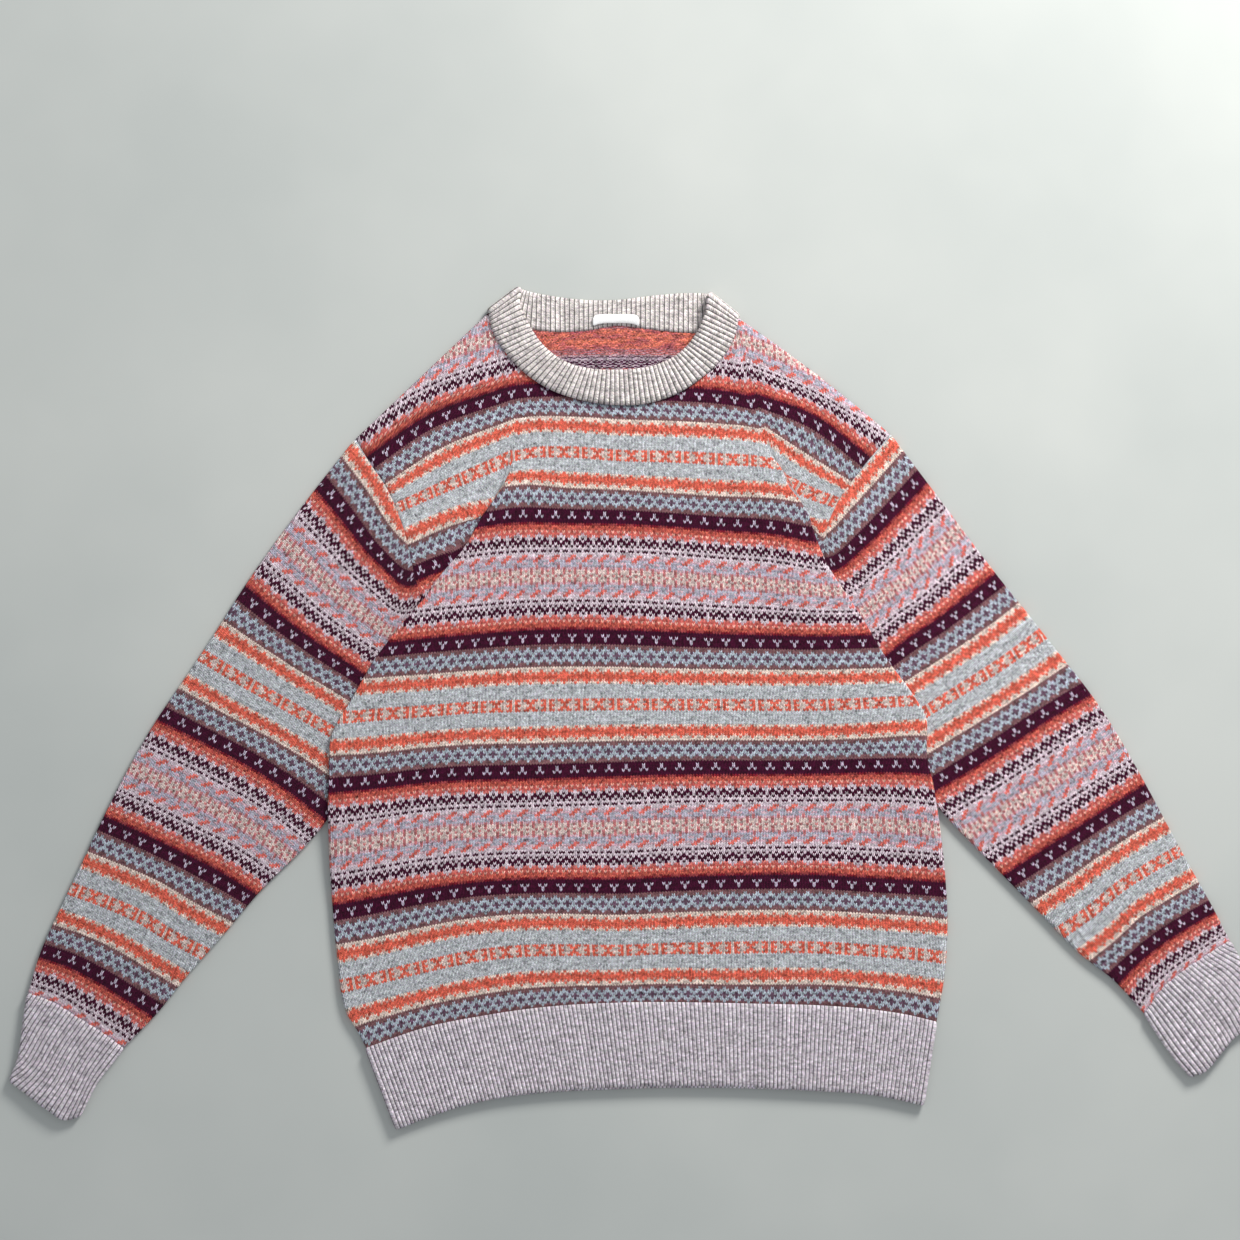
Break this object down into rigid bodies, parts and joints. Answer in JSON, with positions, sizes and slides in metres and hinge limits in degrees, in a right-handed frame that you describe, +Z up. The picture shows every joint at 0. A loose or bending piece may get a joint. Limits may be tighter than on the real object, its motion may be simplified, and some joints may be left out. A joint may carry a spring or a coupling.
{
  "type": "knitted crew-neck pullover",
  "caption": "Patterned knit crew-neck pullover laid flat front up, with long sleeves angled down and ribbed collar, cuffs and hem.",
  "frame": {"origin": "middle of the laid-out garment's bounding box, on the flat underside it rests on", "axes": "+X to the right as seen from above, along the spread of the sleeves; +Y towards the neck; +Z up, out of the front"},
  "size_m": [1.0788, 0.731, 0.0106],
  "materials": {
    "knit_front": "multicolour stranded wool knit, striped motifs",
    "knit_back": "multicolour stranded wool knit, inside shows floats",
    "knit_sleeve_left": "multicolour stranded wool knit, striped motifs",
    "knit_sleeve_right": "multicolour stranded wool knit, striped motifs",
    "rib_cuff_left": "marled light grey wool, 1x1 rib",
    "rib_cuff_right": "marled light grey wool, 1x1 rib",
    "rib_hem": "marled light grey wool, 1x1 rib",
    "rib_collar": "marled light grey wool, 1x1 rib",
    "label": "plain white woven tape"
  },
  "bodies": {
    "root": {"front": "knit_front", "back": "knit_back", "sleeve_left": "knit_sleeve_left", "sleeve_right": "knit_sleeve_right", "cuff_left": "rib_cuff_left", "cuff_right": "rib_cuff_right", "hem_rib": "rib_hem", "collar": "rib_collar", "neck_label": "label"}
  },
  "joints": []
}
